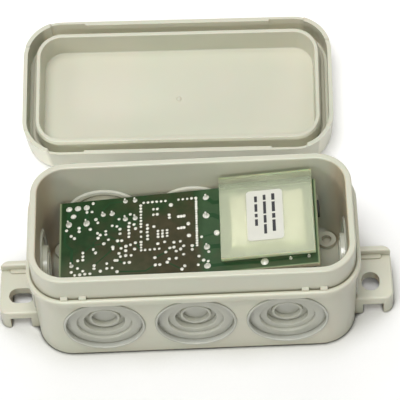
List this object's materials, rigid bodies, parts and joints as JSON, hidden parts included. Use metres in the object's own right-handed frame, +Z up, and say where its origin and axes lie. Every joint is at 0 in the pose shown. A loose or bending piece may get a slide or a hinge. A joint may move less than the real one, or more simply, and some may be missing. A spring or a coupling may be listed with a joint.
{
  "type": "radio receiver",
  "caption": "Surface box with soft cable entries and fixing lugs, opened: lid upside down behind it, loose circuit board with its solder side up inside.",
  "frame": {"origin": "centre of the box's flat underside", "axes": "+X along the box, +Y back towards the lid that lies behind it, +Z up"},
  "size_m": [0.1124, 0.1087, 0.0362],
  "materials": {
    "housing": "fine satin, warm light grey",
    "membrane": "satin, warm light grey",
    "seal": "matt, dark grey brown",
    "circuit_board": "green lacquer over copper",
    "plate": "translucent pale green",
    "foam": "matt, cream foam",
    "label": "matt, white",
    "header": "satin, black",
    "pin": "tinned",
    "plug": "satin, green",
    "screw": "zinc plated",
    "clamp": "nickel plated",
    "chip": "matt, black",
    "tab": "satin",
    "relay": "satin, blue black",
    "sleeve": "shrunk sleeve, dark blue",
    "shield": "tin plated",
    "button_case": "satin, black",
    "button_plunger": "satin, red brown",
    "lamp": "clear red",
    "varistor": "coated, blue",
    "chip_capacitor": "matt, tan",
    "antenna": "enamelled copper"
  },
  "bodies": {
    "box": {"box_body": "housing", "membrane_back_1": "membrane", "membrane_back_2": "membrane", "membrane_back_3": "membrane", "membrane_front_1": "membrane", "membrane_front_2": "membrane", "membrane_front_3": "membrane", "membrane_left": "membrane", "membrane_right": "membrane"},
    "lid": {"lid_shell": "housing", "lid_seal": "seal"},
    "board": {"button_case": "button_case", "capacitor_large": "sleeve", "capacitor_small": "sleeve", "chip_capacitors": "chip_capacitor", "chip_resistors": "chip", "controller": "chip", "controller_legs": "pin", "cover_plate": "plate", "crystal": "shield", "foam_pad": "foam", "header_pins": "pin", "loop_antenna": "antenna", "main_board": "circuit_board", "plate_label": "label", "radio_chip": "chip", "rectifier": "chip", "regulator_case": "chip", "regulator_legs": "pin", "regulator_tab": "tab", "relay": "relay", "shield_cover": "shield", "shield_frame": "shield", "signal_lamp": "lamp", "terminal_header": "header", "terminal_plug": "plug", "terminal_screws": "screw", "varistor": "varistor", "wire_clamps": "clamp"},
    "button": {"button_plunger": "button_plunger"}
  },
  "joints": [
    {"name": "lid_lift", "type": "slide", "parent": "box", "child": "lid", "axis": [0, 0, 1], "range_m": [0, 0.045]},
    {"name": "board_lift", "type": "slide", "parent": "box", "child": "board", "axis": [0, 0, 1], "range_m": [0, 0.045]},
    {"name": "button_press", "type": "slide", "parent": "board", "child": "button", "axis": [-0.0957, 0, 0.9954], "range_m": [0, 0.0003], "stiffness_N_per_m": 1000, "springref_m": -0.0004}
  ]
}
